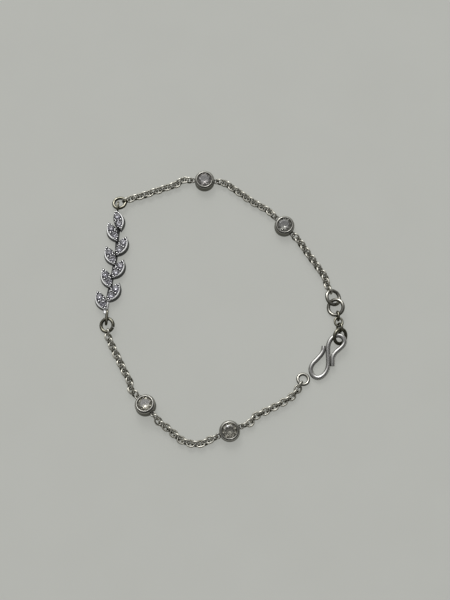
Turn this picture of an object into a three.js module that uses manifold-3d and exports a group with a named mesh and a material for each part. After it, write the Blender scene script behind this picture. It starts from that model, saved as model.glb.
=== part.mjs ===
// Station chain bracelet, lying open in a loop on a flat surface with its hook unfastened.
// Four bezel-set round stones and a bar of eight stone-set leaves are joined by fine cable chain;
// jump rings and an S-hook close it. Units are millimetres, +Z is up, and the surface is z = 0.
import * as THREE from "three";
import { mergeVertices } from "three/addons/utils/BufferGeometryUtils.js";
import Module from "manifold-3d";

const wasm = await Module();
wasm.setup();

// ---------------------------------------------------------------- driving dimensions

const SEAT_GAP = 0.3; // between a chain run's end and the ring or lug it hangs on

const CHAIN_HEIGHT = 1.5; // flat to flat, over the links
const CHAIN_SIDES = 8;
const CHAIN_LEAST_STEPS = 2;
const CHAIN_STEP = 3; // length of one straight piece of a run

const RING_WIRE = 0.76;
const WIRE_SIDES = 8; // of every round wire
const RING_SEGMENTS = 24;

const CUP_RADIUS = 2.52;
const CUP_HEIGHT = 2.3;
const CUP_SEGMENTS = 24;
const CUP_BACK_HOLE = 1.5; // radius of the open back under the stone
const CUP_FOOT_BEVEL = 0.1;
const CUP_SEAT_HEIGHT = 1.62; // where the girdle's groove starts
const CUP_SEAT_DROP = 0.52; // from the groove down to the open back
const CUP_GROOVE_RADIUS = 2.06;
const CUP_GROOVE_TOP = 0.46; // below the lip

// The rolled rim, from the wall over the lip to the stone: in from the wall, below the lip.
const CUP_RIM = [
  [0, 0.75],
  [0.07, 0.35],
  [0.25, 0.08],
  [0.44, 0],
  [0.62, 0.1],
  [0.68, 0.3],
];

// The lugs are small wire loops soldered on level, at the middle of the cup's wall.
const LUG_RADIUS = 0.55;
const LUG_WIRE = 0.4;
const LUG_REACH = 3.02; // from the cup's axis to the lug's centre
const LUG_HEIGHT = 1.1;
const LUG_SEGMENTS = 14;

// A brilliant-cut stone's heights and table, as shares of its radius.
const CUT = { halfGirdle: 0.04, crown: 0.24, pavilion: 0.77, table: 0.56 };
const STATION_STONE = { radius: 2.0, segments: 16 };
const LEAF_STONE = { radius: 0.85, segments: 10 };
const STATION_STONE_CLEARANCE = 0.1; // over its seat, to the middle of the girdle
const LEAF_STONE_CLEARANCE = 0.04; // over the leaf's top, to the middle of the girdle

const LEAF_LENGTH = 5.6;
const LEAF_OUTER_BULGE = 1.42; // the polished side
const LEAF_INNER_BULGE = 1.2;
const LEAF_HEIGHT = 1.8;
const LEAF_CURVE_SEGMENTS = 8;
const LEAF_STONE_SPACING = 2.1;
const LEAF_POCKET_CLEARANCE = 0.08; // around the stone
const LEAF_POCKET_DEPTH = 0.7;
const LEAF_POCKET_SEGMENTS = 12;
const BEAD_RADIUS = 0.3; // the grains of metal that hold the stones
const BEAD_FROM_TIP = 0.45;
const BEAD_FROM_MIDLINE = 0.78;
const STEM_WIDTH = 0.9;
const STEM_HEIGHT = 0.8;
const STEM_STEPS = 16;

const EYELET_WIRE = 0.5;
const EYELET_RADIUS = 0.82; // to the middle of the wire
const EYELET_SEGMENTS = 16;
const MIDLINE = 1e-6; // closer to an eyelet's middle than this is on it

const TAIL_WIDTH_AT_LEAVES = 0.65;
const TAIL_WIDTH_AT_EYELET = 1.2;
const TAIL_UNDERSIDE = 0.45;
const TAIL_THICKNESS = 0.85;

const HOOK_WIDTH = 1.05;
const HOOK_HEIGHT = 1.05;
const HOOK_EDGE = 0.36; // how far the rounded edges cut in
const HOOK_STEPS = 64;
const HOOK_SLOPE = 6; // degrees; its upper bend lies on a ring
const HOOK_SLOPE_DIRECTION = 220; // the way its low side faces

// ---------------------------------------------------------------- where the pieces lie

// axis: heading of the line through the two lugs; a cup with lean is tipped that way about its edge.
const STATIONS = [
  { name: "north", x: -4.21, y: 32.7, axis: -3, lean: 0, leanTo: 0 },
  { name: "northeast", x: 16.16, y: 20.37, axis: -47, lean: 0, leanTo: 0 },
  { name: "southwest", x: -18.02, y: -25.72, axis: -49, lean: 15, leanTo: 108 },
  { name: "south", x: 2.15, y: -31.58, axis: 23, lean: 0, leanTo: 0 },
];

// outer: outside diameter; lowSide: the heading towards which the ring tips; lift: above the surface.
const RINGS = [
  { name: "leaf_top", x: -25.97, y: 26.73, outer: 3.9, tip: 16, lowSide: 120, lift: 0 },
  { name: "leaf_foot", x: -28.1, y: -5.48, outer: 4.05, tip: 18, lowSide: 195, lift: 0 },
  { name: "pair_upper", x: 27.95, y: 1.5, outer: 4.5, tip: 26, lowSide: 11, lift: 0.1 },
  { name: "pair_lower", x: 28.5, y: -1.02, outer: 4.7, tip: 28, lowSide: 191, lift: 0 },
  { name: "hook", x: 29.3, y: -8.45, outer: 4.5, tip: 40, lowSide: -30, lift: 0 },
  { name: "catch", x: 20.09, y: -18.94, outer: 3.4, tip: 9, lowSide: 60, lift: 0 },
];

// Each leaf's middle, the heading of its tip, and the side that its polished edge is on.
const LEAVES = [
  { x: -26.1, y: 21.8, heading: 105, outerSide: -1 },
  { x: -27.36, y: 18.69, heading: 117, outerSide: 1 },
  { x: -25.08, y: 14.92, heading: 62, outerSide: -1 },
  { x: -27.74, y: 12.38, heading: 118, outerSide: 1 },
  { x: -25.76, y: 8.87, heading: 59, outerSide: -1 },
  { x: -28.46, y: 6.46, heading: 114, outerSide: 1 },
  { x: -26.71, y: 2.84, heading: 58, outerSide: -1 },
  { x: -29.66, y: 0.7, heading: 116, outerSide: 1 },
];

const STEM_ROUTE = [
  [-26.7, 24.3],
  [-26.1, 21.5],
  [-26.3, 17.2],
  [-26.4, 13.4],
  [-26.9, 9.6],
  [-27.5, 5.6],
  [-28.2, 1.6],
];

// The tail is a plain strip from under the last leaves to the eyelet at the foot.
const TAIL_ENDS = { top: [-28.2, 1.4], bottom: [-28.25, -2.1] };

const TOP_EYELET = { x: -26.4, y: 25.5, z: 1.1, heading: 86, tilt: 86, stretch: 0.42 };
const FOOT_EYELET = { x: -28.0, y: -3.4, z: 1.1, heading: 92, tilt: 84, stretch: 1.05 };

// Each run starts at a lug or ring, passes the middle points, and ends at the next lug or ring.
// rise: how far an end is held above where it would lie; slack: extra room left at an end.
// A held run hangs between its rings and touches the surface nowhere.
const RUNS = [
  {
    name: "leaf_north",
    from: { ring: "leaf_top", heading: 22, rise: 0.2 },
    via: [[-20.77, 28.59], [-16.03, 30.28], [-11.42, 31.97]],
    to: { station: "north", side: -1 },
  },
  {
    name: "north_northeast",
    from: { station: "north", side: 1 },
    via: [[1.02, 32.24], [4.06, 30.08], [8.76, 26.68]],
    to: { station: "northeast", side: -1 },
  },
  {
    name: "northeast_rings",
    from: { station: "northeast", side: 1 },
    via: [[21.45, 14.03], [24.25, 9.86], [26.4, 6.34]],
    to: { ring: "pair_upper", heading: 111, rise: 0.5 },
  },
  {
    name: "leaf_southwest",
    from: { ring: "leaf_foot", heading: -80, rise: 0.2 },
    via: [[-26.88, -10.19], [-24.27, -15.44], [-21.92, -20.06]],
    to: { station: "southwest", side: -1 },
  },
  {
    name: "southwest_south",
    from: { station: "southwest", side: 1, rise: 0.9 },
    via: [[-12.49, -30.99], [-9.62, -33.44], [-6.8, -34.52], [-4.01, -34.35]],
    to: { station: "south", side: -1 },
  },
  {
    name: "south_end_ring",
    from: { station: "south", side: 1 },
    via: [[7.95, -28.25], [12.43, -25.98], [16.86, -23.37]],
    to: { ring: "catch", heading: 239, rise: 0.2 },
  },
  {
    name: "extension",
    held: true,
    from: { ring: "pair_lower", heading: -74, rise: 0.4, slack: 0.16 },
    via: [],
    to: { ring: "hook", heading: 88, rise: 1.2 },
  },
];

// The hook's wire seen from above, from the free end of its lower bend to the end of its upper bend.
const HOOK_ROUTE = [
  [25.25, -10.75],
  [25.18, -11.8],
  [24.7, -12.75],
  [23.65, -13.95],
  [22.46, -15.2],
  [22, -16.3],
  [22.15, -17.35],
  [22.75, -18.2],
  [23.7, -18.55],
  [24.7, -18.2],
  [25.65, -17.2],
  [26.2, -15.9],
  [26.35, -14.1],
  [26.28, -12.3],
  [26.37, -10.75],
  [26.9, -9.4],
  [27.8, -8.5],
  [29, -8.15],
  [29.96, -8.65],
  [30.38, -9.7],
  [30.05, -10.6],
  [29.1, -11.55],
  [28.05, -12.5],
  [27.45, -13.55],
  [27.34, -14.66],
  [27.33, -15.75],
];

const HOOK_REST = 7; // the route's point at the bottom of the lower bend

// ---------------------------------------------------------------- finishes

const SILVER = { color: 0xc9c7be, roughness: 0.22, metalness: 1 };
const STONE = { color: 0xd8d6d0, roughness: 0.05, metalness: 0 };

const bracelet = new THREE.Group();

// ---------------------------------------------------------------- helpers

const UP = new THREE.Vector3(0, 0, 1);
const rad = (degrees) => THREE.MathUtils.degToRad(degrees);
const towards = (degrees) => new THREE.Vector3(Math.cos(rad(degrees)), Math.sin(rad(degrees)), 0);
const pointAt = ([x, y], z) => new THREE.Vector3(x, y, z);
const named = (table, name) => table.find((row) => row.name === name);

function solidOf(geometry) {
  const bare = geometry.clone();
  bare.deleteAttribute("normal");
  bare.deleteAttribute("uv");
  const merged = mergeVertices(bare);
  return new wasm.Manifold(
    new wasm.Mesh({
      numProp: 3,
      vertProperties: merged.attributes.position.array,
      triVerts: new Uint32Array(merged.index.array),
    }),
  );
}

function geometryOf(solid) {
  const mesh = solid.getMesh();
  const geometry = new THREE.BufferGeometry();
  geometry.setAttribute("position", new THREE.BufferAttribute(mesh.vertProperties, 3));
  geometry.setIndex(new THREE.BufferAttribute(mesh.triVerts, 1));
  geometry.computeVertexNormals();
  return geometry;
}

function addPiece(parent, name, geometry, finish) {
  const piece = new THREE.Mesh(geometry, new THREE.MeshStandardMaterial(finish));
  piece.name = name;
  parent.add(piece);
  return piece;
}

// Turned about +Z from a list of [radius, height] corners.
function turned(corners, segments) {
  const profile = corners.map(([radius, height]) => new THREE.Vector2(radius, height));
  return new THREE.LatheGeometry(profile, segments).rotateX(Math.PI / 2);
}

// The turn that tips an upright axis by an angle, towards a heading.
function tipped(angle, heading) {
  const axis = towards(heading + 90);
  return new THREE.Quaternion().setFromAxisAngle(axis, rad(angle));
}

// Raises a placed object until its lowest point is at the given height.
function standAt(object, height) {
  object.updateMatrixWorld(true);
  const box = new THREE.Box3().setFromObject(object, true);
  object.position.z += height - box.min.z;
}

// ---------------------------------------------------------------- stones

function brilliant({ radius, segments }) {
  const girdle = CUT.halfGirdle * radius;
  const crownTop = girdle + CUT.crown * radius;
  return turned(
    [
      [0, -girdle - CUT.pavilion * radius],
      [radius, -girdle],
      [radius, girdle],
      [CUT.table * radius, crownTop],
      [0, crownTop],
    ],
    segments,
  );
}

// ---------------------------------------------------------------- bezel stations

function cupGeometry() {
  const rim = CUP_RIM.map(([inset, drop]) => [CUP_RADIUS - inset, CUP_HEIGHT - drop]);
  const cup = turned(
    [
      [CUP_BACK_HOLE, 0],
      [CUP_RADIUS - CUP_FOOT_BEVEL, 0],
      [CUP_RADIUS, CUP_FOOT_BEVEL],
      ...rim,
      [CUP_GROOVE_RADIUS, CUP_HEIGHT - CUP_GROOVE_TOP],
      [CUP_GROOVE_RADIUS, CUP_SEAT_HEIGHT],
      [CUP_BACK_HOLE, CUP_SEAT_HEIGHT - CUP_SEAT_DROP],
      [CUP_BACK_HOLE, 0],
    ],
    CUP_SEGMENTS,
  );
  let whole = solidOf(cup);
  const lug = new THREE.TorusGeometry(LUG_RADIUS, LUG_WIRE / 2, WIRE_SIDES, LUG_SEGMENTS);
  for (const side of [-1, 1]) {
    whole = whole.add(solidOf(lug.clone().translate(side * LUG_REACH, 0, LUG_HEIGHT)));
  }
  return geometryOf(whole);
}

function addStation(row) {
  const station = new THREE.Group();
  addPiece(station, `bezel_${row.name}`, cupGeometry(), SILVER);
  const stone = addPiece(station, `stone_${row.name}`, brilliant(STATION_STONE), STONE);
  stone.position.z = CUP_SEAT_HEIGHT + STATION_STONE_CLEARANCE;
  station.position.set(row.x, row.y, 0);
  const lugLine = new THREE.Quaternion().setFromAxisAngle(UP, rad(row.axis));
  station.quaternion.copy(tipped(row.lean, row.leanTo)).multiply(lugLine);
  standAt(station, 0);
  bracelet.add(station);
}

// ---------------------------------------------------------------- jump rings

const ringRadius = (row) => (row.outer - RING_WIRE) / 2;

function addRing(row) {
  const loop = new THREE.TorusGeometry(ringRadius(row), RING_WIRE / 2, WIRE_SIDES, RING_SEGMENTS);
  const ring = addPiece(bracelet, `ring_${row.name}`, loop, SILVER);
  ring.position.set(row.x, row.y, 0);
  ring.quaternion.copy(tipped(row.tip, row.lowSide));
  standAt(ring, row.lift);
}

// ---------------------------------------------------------------- chain runs

// How far a tipped ring reaches along a heading, seen from above.
function ringReach(row, heading) {
  const across = ringRadius(row);
  const along = across * Math.cos(rad(row.tip));
  const turn = rad(heading - row.lowSide);
  return 1 / Math.hypot(Math.cos(turn) / along, Math.sin(turn) / across) + RING_WIRE / 2;
}

function runEnd(end) {
  const height = CHAIN_HEIGHT / 2 + (end.rise ?? 0);
  if (end.ring) {
    const ring = named(RINGS, end.ring);
    const reach = ringReach(ring, end.heading) + SEAT_GAP + (end.slack ?? 0);
    return towards(end.heading).multiplyScalar(reach).add(pointAt([ring.x, ring.y], height));
  }
  const station = named(STATIONS, end.station);
  const heading = station.axis + (end.side > 0 ? 0 : 180);
  const slide = LUG_HEIGHT * Math.sin(rad(station.lean)) * Math.cos(rad(station.leanTo - heading));
  const reach = LUG_REACH + LUG_RADIUS + LUG_WIRE / 2 + SEAT_GAP + slide;
  return towards(heading).multiplyScalar(reach).add(pointAt([station.x, station.y], height));
}

function addRun(row) {
  const middle = row.via.map((place) => pointAt(place, CHAIN_HEIGHT / 2));
  const points = [runEnd(row.from), ...middle, runEnd(row.to)];
  const route = new THREE.CatmullRomCurve3(points, false, "centripetal");
  const corner = CHAIN_HEIGHT / 2 / Math.cos(Math.PI / CHAIN_SIDES);
  const section = new THREE.Shape();
  for (let i = 0; i < CHAIN_SIDES; i += 1) {
    const angle = ((i + 0.5) / CHAIN_SIDES) * 2 * Math.PI;
    const x = corner * Math.cos(angle);
    const y = corner * Math.sin(angle);
    if (i === 0) section.moveTo(x, y);
    else section.lineTo(x, y);
  }
  const steps = Math.max(CHAIN_LEAST_STEPS, Math.round(route.getLength() / CHAIN_STEP));
  const tube = new THREE.ExtrudeGeometry(section, { steps, bevelEnabled: false, extrudePath: route });
  const run = addPiece(bracelet, `chain_${row.name}`, tube, SILVER);
  if (!row.held) standAt(run, 0);
}

// ---------------------------------------------------------------- leaf bar

// A pointed oval along x, fuller on its polished side (+y).
function leafOutline() {
  const half = LEAF_LENGTH / 2;
  const outline = new THREE.Shape();
  outline.moveTo(half, 0);
  outline.quadraticCurveTo(0, 2 * LEAF_OUTER_BULGE, -half, 0);
  outline.quadraticCurveTo(0, -2 * LEAF_INNER_BULGE, half, 0);
  return outline;
}

function leafSolid() {
  const body = new THREE.ExtrudeGeometry(leafOutline(), {
    depth: LEAF_HEIGHT,
    bevelEnabled: false,
    curveSegments: LEAF_CURVE_SEGMENTS,
  });
  let leaf = solidOf(body);
  const bore = LEAF_STONE.radius + LEAF_POCKET_CLEARANCE;
  const pocket = new THREE.CylinderGeometry(bore, bore, 2 * LEAF_POCKET_DEPTH, LEAF_POCKET_SEGMENTS);
  pocket.rotateX(Math.PI / 2);
  for (const end of [-1, 1]) {
    const x = (end * LEAF_STONE_SPACING) / 2;
    leaf = leaf.subtract(solidOf(pocket.clone().translate(x, 0, LEAF_HEIGHT)));
  }
  const bead = new THREE.SphereGeometry(BEAD_RADIUS, 8, 6);
  const tip = LEAF_LENGTH / 2 - BEAD_FROM_TIP;
  const beadPlaces = [
    [tip, 0],
    [0, BEAD_FROM_MIDLINE],
    [0, -BEAD_FROM_MIDLINE],
    [-tip, 0],
  ];
  for (const [x, y] of beadPlaces) {
    leaf = leaf.add(solidOf(bead.clone().translate(x, y, LEAF_HEIGHT)));
  }
  return leaf;
}

function leafPlace(row) {
  const place = new THREE.Matrix4().makeRotationZ(rad(row.heading));
  place.setPosition(row.x, row.y, 0);
  return place;
}

function stemSolid() {
  const half = STEM_HEIGHT / 2;
  const section = new THREE.Shape();
  section.moveTo(-half, -STEM_WIDTH / 2);
  section.lineTo(half, -STEM_WIDTH / 2);
  section.lineTo(half, STEM_WIDTH / 2);
  section.lineTo(-half, STEM_WIDTH / 2);
  const route = new THREE.CatmullRomCurve3(STEM_ROUTE.map((place) => pointAt(place, half)));
  return solidOf(
    new THREE.ExtrudeGeometry(section, {
      steps: STEM_STEPS,
      bevelEnabled: false,
      extrudePath: route,
    }),
  );
}

function tailSolid() {
  const outline = new THREE.Shape();
  const [topX, topY] = TAIL_ENDS.top;
  const [bottomX, bottomY] = TAIL_ENDS.bottom;
  outline.moveTo(topX - TAIL_WIDTH_AT_LEAVES / 2, topY);
  outline.lineTo(bottomX - TAIL_WIDTH_AT_EYELET / 2, bottomY);
  outline.lineTo(bottomX + TAIL_WIDTH_AT_EYELET / 2, bottomY);
  outline.lineTo(topX + TAIL_WIDTH_AT_LEAVES / 2, topY);
  const strip = new THREE.ExtrudeGeometry(outline, { depth: TAIL_THICKNESS, bevelEnabled: false });
  return solidOf(strip.translate(0, 0, TAIL_UNDERSIDE));
}

// An oval wire loop whose long axis follows the heading, turned about that axis by the tilt.
// The stretch pulls its two halves apart along that axis.
function eyeletSolid(row) {
  const loop = new THREE.TorusGeometry(EYELET_RADIUS, EYELET_WIRE / 2, WIRE_SIDES, EYELET_SEGMENTS);
  const places = loop.attributes.position;
  for (let i = 0; i < places.count; i += 1) {
    const x = places.getX(i);
    const half = Math.abs(x) < MIDLINE ? 0 : Math.sign(x);
    places.setX(i, x + half * row.stretch);
  }
  loop.rotateX(-rad(row.tilt));
  loop.rotateZ(rad(row.heading));
  loop.translate(row.x, row.y, row.z);
  return solidOf(loop);
}

function addLeafBar() {
  const leaf = leafSolid();
  const mirrored = leaf.mirror([0, 1, 0]);
  let bar = stemSolid().add(tailSolid());
  bar = bar.add(eyeletSolid(TOP_EYELET)).add(eyeletSolid(FOOT_EYELET));
  LEAVES.forEach((row, index) => {
    const side = row.outerSide > 0 ? leaf : mirrored;
    const place = leafPlace(row);
    bar = bar.add(side.transform(place.elements));
    for (const [letter, end] of [["a", 1], ["b", -1]]) {
      const name = `leaf_stone_${index + 1}${letter}`;
      const stone = addPiece(bracelet, name, brilliant(LEAF_STONE), STONE);
      stone.position.set((end * LEAF_STONE_SPACING) / 2, 0, LEAF_HEIGHT + LEAF_STONE_CLEARANCE);
      stone.position.applyMatrix4(place);
    }
  });
  addPiece(bracelet, "leaf_bar", geometryOf(bar), SILVER);
}

// ---------------------------------------------------------------- S-hook

function addHook() {
  const width = HOOK_WIDTH / 2;
  const height = HOOK_HEIGHT / 2;
  const section = new THREE.Shape();
  section.moveTo(-height, -width + HOOK_EDGE);
  section.lineTo(-height + HOOK_EDGE, -width);
  section.lineTo(height - HOOK_EDGE, -width);
  section.lineTo(height, -width + HOOK_EDGE);
  section.lineTo(height, width - HOOK_EDGE);
  section.lineTo(height - HOOK_EDGE, width);
  section.lineTo(-height + HOOK_EDGE, width);
  section.lineTo(-height, width - HOOK_EDGE);
  const route = new THREE.CatmullRomCurve3(HOOK_ROUTE.map((place) => pointAt(place, 0)));
  const wire = new THREE.ExtrudeGeometry(section, {
    steps: HOOK_STEPS,
    bevelEnabled: false,
    extrudePath: route,
  });
  const [restX, restY] = HOOK_ROUTE[HOOK_REST]; // lies on the surface
  wire.translate(-restX, -restY, 0);
  const hook = addPiece(bracelet, "s_hook", wire, SILVER);
  hook.position.set(restX, restY, 0);
  hook.quaternion.copy(tipped(HOOK_SLOPE, HOOK_SLOPE_DIRECTION));
  standAt(hook, 0);
}

// ---------------------------------------------------------------- the whole bracelet

STATIONS.forEach(addStation);
RINGS.forEach(addRing);
RUNS.forEach(addRun);
addLeafBar();
addHook();

export default bracelet;
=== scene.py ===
# %% [markdown]
# # A station chain bracelet in silver
#
# The bracelet lies open in a loop, as it was put down: four round stones in bezel cups, a bar
# of eight leaves set with small stones, fine cable chain between them, jump rings, and an
# S-hook that closes it. Each piece is made here in its own short cell, around a frame of
# simple solids that gives its place and size. Those solids stay hidden behind the finished
# pieces. We start by loading that frame, with a helper that gives the box of each of its solids.

# %% Load the frame
import math
import random

import bmesh
import bpy
from mathutils import Matrix, Quaternion, Vector


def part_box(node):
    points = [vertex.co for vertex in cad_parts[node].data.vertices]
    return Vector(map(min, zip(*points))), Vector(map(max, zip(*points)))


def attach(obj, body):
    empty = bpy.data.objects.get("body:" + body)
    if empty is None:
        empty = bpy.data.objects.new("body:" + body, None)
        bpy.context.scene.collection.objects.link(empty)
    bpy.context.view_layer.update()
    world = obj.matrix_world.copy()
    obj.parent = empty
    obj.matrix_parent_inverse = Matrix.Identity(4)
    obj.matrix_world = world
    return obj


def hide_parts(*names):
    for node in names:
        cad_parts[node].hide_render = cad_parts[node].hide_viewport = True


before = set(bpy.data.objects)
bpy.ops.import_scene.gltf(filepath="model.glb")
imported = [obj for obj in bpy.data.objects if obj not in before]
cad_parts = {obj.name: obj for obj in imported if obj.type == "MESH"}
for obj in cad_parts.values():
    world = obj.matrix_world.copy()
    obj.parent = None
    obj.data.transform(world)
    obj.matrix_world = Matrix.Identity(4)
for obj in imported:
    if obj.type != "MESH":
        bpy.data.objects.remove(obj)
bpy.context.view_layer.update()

# %% [markdown]
# ## Working in millimetres
#
# Jewellery is measured in millimetres and Blender's unit here is the metre. A link's wire is
# 0.0005 m thick, which is hard to read, so every helper below takes millimetres, and the
# number is made metres at one place only: where a finished shape becomes a Blender mesh.
# A shape is a list of points and a list of faces, the two things that any mesh is made of.

# %% Shapes, and turning one into a piece
MM = 0.001
UP = Vector((0, 0, 1))
SMOOTH_CREASE = 35
FACET_CREASE = 1


def towards(heading):
    """The level direction at that many degrees round from +X."""
    angle = math.radians(heading)
    return Vector((math.cos(angle), math.sin(angle), 0))


def turned(degrees):
    return Matrix.Rotation(math.radians(degrees), 4, "Z")


def tipped(angle, heading):
    """The turn that tips an upright axis by an angle, towards a heading."""
    return Quaternion(towards(heading + 90), math.radians(angle)).to_matrix().to_4x4()


def box_middle(node):
    """The middle of a node's box, in millimetres."""
    low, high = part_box(node)
    return (low + high) / 2 / MM


def joined(shapes):
    points, faces = [], []
    for shape_points, shape_faces in shapes:
        start = len(points)
        points.extend(shape_points)
        faces.extend([tuple(start + i for i in face) for face in shape_faces])
    return points, faces


def placed(shape, matrix):
    points, faces = shape
    return [matrix @ p for p in points], faces


def lowest(shape):
    return min(p.z for p in shape[0])


def make_piece(name, shape, material, nodes, crease=SMOOTH_CREASE):
    """A mesh object from a shape in millimetres, riding on the frame in place of its nodes."""
    mesh = bpy.data.meshes.new(name)
    points, faces = shape
    mesh.from_pydata([p * MM for p in points], [], faces)
    work = bmesh.new()
    work.from_mesh(mesh)
    bmesh.ops.recalc_face_normals(work, faces=work.faces)
    work.to_mesh(mesh)
    work.free()
    mesh.shade_smooth()
    mesh.set_sharp_from_angle(angle=math.radians(crease))
    mesh.materials.append(material)
    piece = bpy.data.objects.new(name, mesh)
    bpy.context.scene.collection.objects.link(piece)
    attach(piece, "root")
    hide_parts(*nodes)


# %% [markdown]
# ## Sweeping and turning
#
# Nearly everything here is wire or sheet that a jeweller bends. A wire is a section carried
# along a path, so one sweep makes rings, links, eyelets and the hook. A cup is turned about
# an axis, which is a lathe's job. Curves with bevels could do both, but writing the points
# ourselves keeps control over the ends, which are sawn flat on real wire.


# %% Sweep and lathe
def circle_section(radius, sides):
    corners = []
    for k in range(sides):
        angle = 2 * math.pi * k / sides
        corners.append((radius * math.cos(angle), radius * math.sin(angle)))
    return corners


def skin(rows, around, closed):
    """Faces between rows of points, each row a loop. An open skin is capped at both ends."""
    faces = []
    for i in range(rows if closed else rows - 1):
        here = i * around
        there = (i + 1) % rows * around
        for k in range(around):
            n = (k + 1) % around
            faces.append((here + k, here + n, there + n, there + k))
    if not closed:
        faces.append(tuple(reversed(range(around))))
        faces.append(tuple(range((rows - 1) * around, rows * around)))
    return faces


def sweep(path, sections, closed=False):
    """Carries a section of (across, above) corners along a path that lies nearly level.

    sections is one section, or one for each point of the path."""
    count = len(path)
    many = isinstance(sections[0], list)
    around = len(sections[0]) if many else len(sections)
    points = []
    for i, place in enumerate(path):
        before = path[i - 1] if i > 0 or closed else place
        after = path[(i + 1) % count] if i + 1 < count or closed else place
        along = (after - before).normalized()
        across = UP.cross(along).normalized()
        above = along.cross(across)
        section = sections[i] if many else sections
        points.extend([place + across * a + above * b for a, b in section])
    return points, skin(count, around, closed)


def lathe(profile, segments):
    """Turns a closed loop of (radius, height) corners about +Z."""
    points = []
    for i in range(segments):
        ray = towards(360 * i / segments)
        points.extend([ray * radius + UP * height for radius, height in profile])
    return points, skin(segments, len(profile), closed=True)


rod = sweep([Vector((0, 0, 0)), Vector((0, 1, 0))], circle_section(0.5, 12))
print("faces of a straight rod:", len(rod[1]))

# %% [markdown]
# ## Rounding corners and drawing curves
#
# Two more tools serve many pieces. Metal has no sharp corners after polishing, so a section is
# drawn with a few corners that are then cut off twice over, which is round enough at this
# size. And a wire's path is given by a few points that a smooth curve passes through. Spacing
# the curve by the square root of the distances keeps it calm where two points lie close.

# %% Rounded sections, curves and resting
CORNER_CUTS = 2


def rounded(corners):
    """Cuts the corners of a closed loop, then the corners that this leaves, and so on."""
    loop = [Vector((a, b)) for a, b in corners]
    for _ in range(CORNER_CUTS):
        cut = []
        for i, here in enumerate(loop):
            after = loop[(i + 1) % len(loop)]
            cut.append(here.lerp(after, 0.25))
            cut.append(here.lerp(after, 0.75))
        loop = cut
    return [(p.x, p.y) for p in loop]


def curve_through(points, per_span):
    """A smooth curve through the points, spaced by the square root of their distances."""
    ends = [points[0] * 2 - points[1], *points, points[-1] * 2 - points[-2]]
    curve = []
    for i in range(1, len(ends) - 2):
        p0, p1, p2, p3 = ends[i - 1 : i + 3]
        d0, d1, d2 = (math.sqrt((b - a).length) for a, b in ((p0, p1), (p1, p2), (p2, p3)))
        leave = ((p1 - p0) / d0 - (p2 - p0) / (d0 + d1) + (p2 - p1) / d1) * d1
        arrive = ((p2 - p1) / d1 - (p3 - p1) / (d1 + d2) + (p3 - p2) / d2) * d1
        for k in range(per_span):
            t = k / per_span
            square, cube = t * t, t * t * t
            curve.append(
                p1 * (2 * cube - 3 * square + 1)
                + leave * (cube - 2 * square + t)
                + p2 * (3 * square - 2 * cube)
                + arrive * (cube - square)
            )
    curve.append(points[-1].copy())
    return curve


def stood(shape, height=0.0):
    """The shape raised until its lowest point is at that height, and by how much."""
    points, faces = shape
    rise = height - lowest(shape)
    return ([p + UP * rise for p in points], faces), rise


print("a square's corners after rounding:", len(rounded(circle_section(1, 4))))

# %% [markdown]
# ## Small helpers for materials
#
# A material in Blender is a network of nodes, and writing one out takes several lines for
# each node. These helpers shorten that. One feeds a socket, and others make a sum, a mask, a
# cloudy noise and a blend of two colours. A shader node group is a network with named inputs
# and outputs that several materials share. The last helpers start a group, put a group into
# a material, and start a material.

# %% Helpers for node trees
COLOUR, FLOAT = "NodeSocketColor", "NodeSocketFloat"
# a Mix node has sockets for several kinds of value, and these are the ones for colours
MIX_FIRST, MIX_SECOND, MIX_RESULT = 6, 7, 2


def feed(tree, socket, value):
    """Gives a socket a plain value, or joins another node's output to it."""
    if isinstance(value, bpy.types.NodeSocket):
        tree.links.new(value, socket)
    else:
        socket.default_value = value


def math_node(tree, operation, *values, clamp=False):
    node = tree.nodes.new("ShaderNodeMath")
    node.operation = operation
    node.use_clamp = clamp
    for socket, value in zip(node.inputs, values):
        feed(tree, socket, value)
    return node.outputs[0]


def mask_between(tree, value, start, end, low=0.0, high=1.0, smooth=True):
    """Goes from low to high while the value goes from start to end."""
    node = tree.nodes.new("ShaderNodeMapRange")
    if smooth:
        node.interpolation_type = "SMOOTHSTEP"
    limits = {"Value": value, "From Min": start, "From Max": end, "To Min": low, "To Max": high}
    for name, limit in limits.items():
        feed(tree, node.inputs[name], limit)
    return node.outputs["Result"]


def noise_node(tree, scale, detail):
    """A cloudy value that is fixed to the piece's own coordinates."""
    place = tree.nodes.new("ShaderNodeTexCoord")
    noise = tree.nodes.new("ShaderNodeTexNoise")
    tree.links.new(place.outputs["Object"], noise.inputs["Vector"])
    feed(tree, noise.inputs["Scale"], scale)
    noise.inputs["Detail"].default_value = detail
    return noise.outputs["Fac"]


def mix_colours(tree, share, first, second):
    """The first colour where the share is 0, and the second where it is 1."""
    node = tree.nodes.new("ShaderNodeMix")
    node.data_type = "RGBA"
    tree.links.new(share, node.inputs["Factor"])
    feed(tree, node.inputs[MIX_FIRST], first)
    feed(tree, node.inputs[MIX_SECOND], second)
    return node.outputs[MIX_RESULT]


def height_of(tree, source):
    """The upward part of a vector: a place's height, or how far a surface faces up."""
    parts = tree.nodes.new("ShaderNodeSeparateXYZ")
    tree.links.new(source, parts.inputs[0])
    return parts.outputs["Z"]


def new_group(name, inputs, outputs):
    """A node group, with the sockets it is given and the sockets of its result."""
    group = bpy.data.node_groups.new(name, "ShaderNodeTree")
    for socket_name, default in inputs.items():
        kind = COLOUR if isinstance(default, tuple) else FLOAT
        socket = group.interface.new_socket(name=socket_name, in_out="INPUT", socket_type=kind)
        socket.default_value = default
    for socket_name, kind in outputs.items():
        group.interface.new_socket(name=socket_name, in_out="OUTPUT", socket_type=kind)
    given = group.nodes.new("NodeGroupInput")
    result = group.nodes.new("NodeGroupOutput")
    return group, given.outputs, result.inputs


def place_group(tree, group, values):
    node = tree.nodes.new("ShaderNodeGroup")
    node.node_tree = group
    for name, value in values.items():
        node.inputs[name].default_value = value
    return node.outputs


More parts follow.
